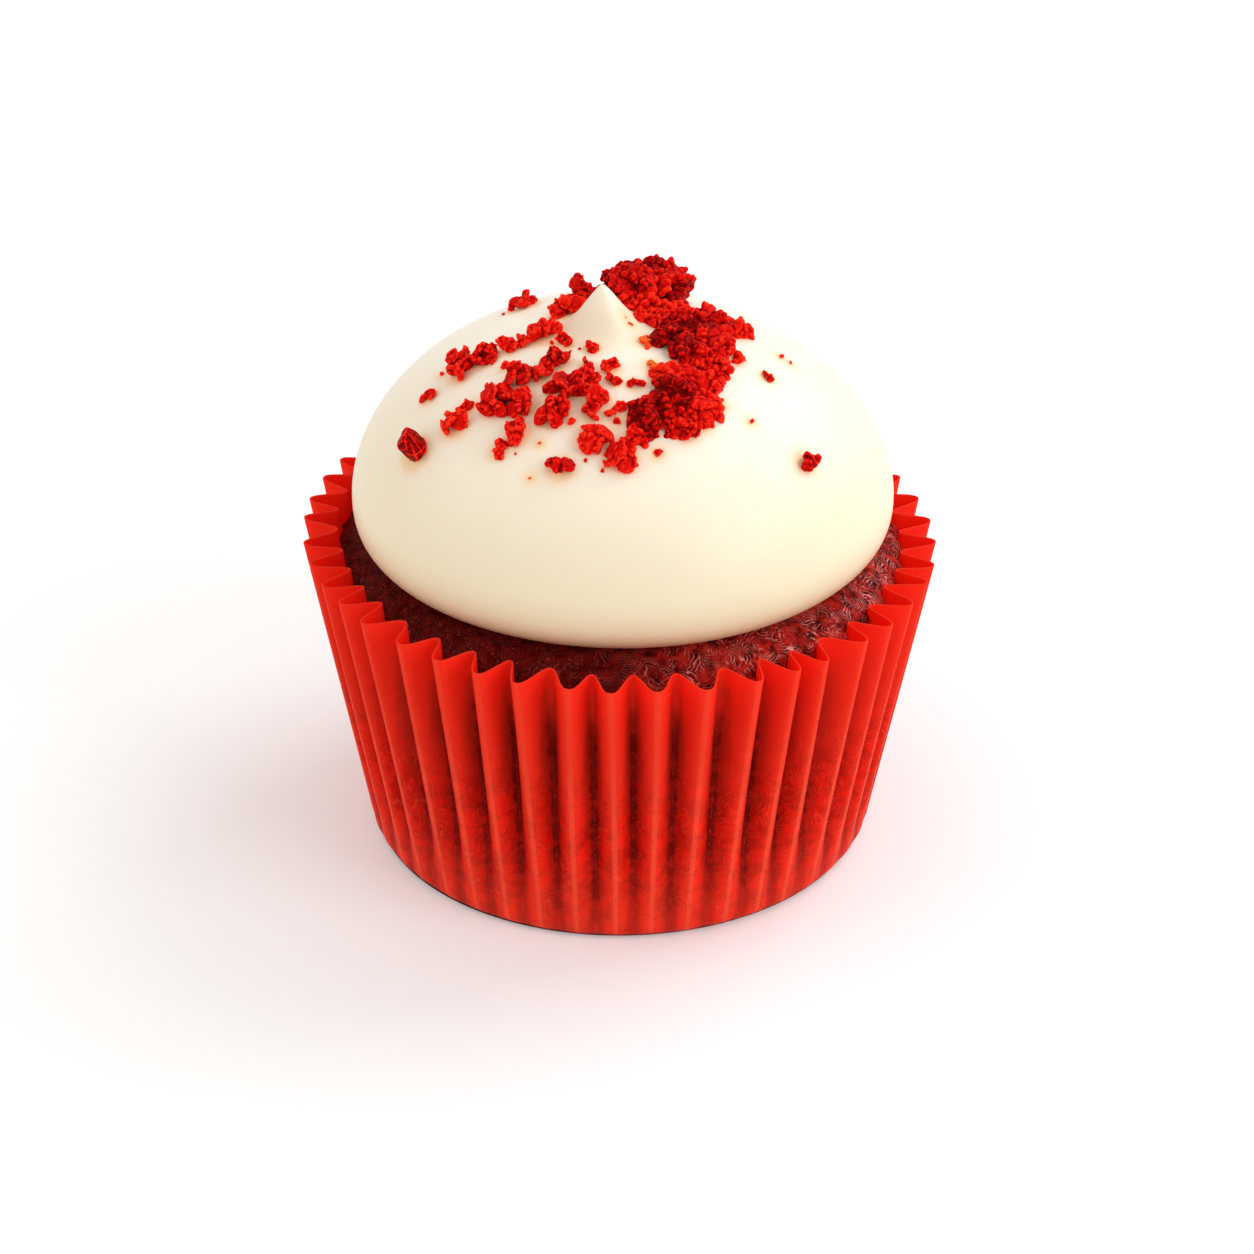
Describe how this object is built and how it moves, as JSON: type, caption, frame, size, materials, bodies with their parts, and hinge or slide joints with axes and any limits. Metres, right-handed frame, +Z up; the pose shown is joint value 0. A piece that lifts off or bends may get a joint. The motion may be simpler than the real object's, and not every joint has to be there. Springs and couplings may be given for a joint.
{
  "type": "cupcake",
  "caption": "Cupcake in a pleated paper case, with a smooth dome of icing drawn up to a small peak and a topping of crumbs.",
  "frame": {"origin": "centre of the paper case's base, on the surface it stands on", "axes": "+Z up; -Y is the front; the icing's peak and the crumb clumps lie a little off the Z axis"},
  "size_m": [0.063, 0.063, 0.0588],
  "materials": {
    "paper": "thin red baking paper, slightly translucent, darker where the cake has soaked it",
    "cake": "moist dark red sponge with an open crumb",
    "icing": "smooth cream-coloured icing with a soft sheen",
    "crumb": "deep red cake crumb"
  },
  "bodies": {
    "root": {"paper_case": "paper", "cake": "cake", "icing": "icing", "crumb_clump_back": "crumb", "crumb_clump_right": "crumb", "crumb_clump_front": "crumb"}
  },
  "joints": []
}
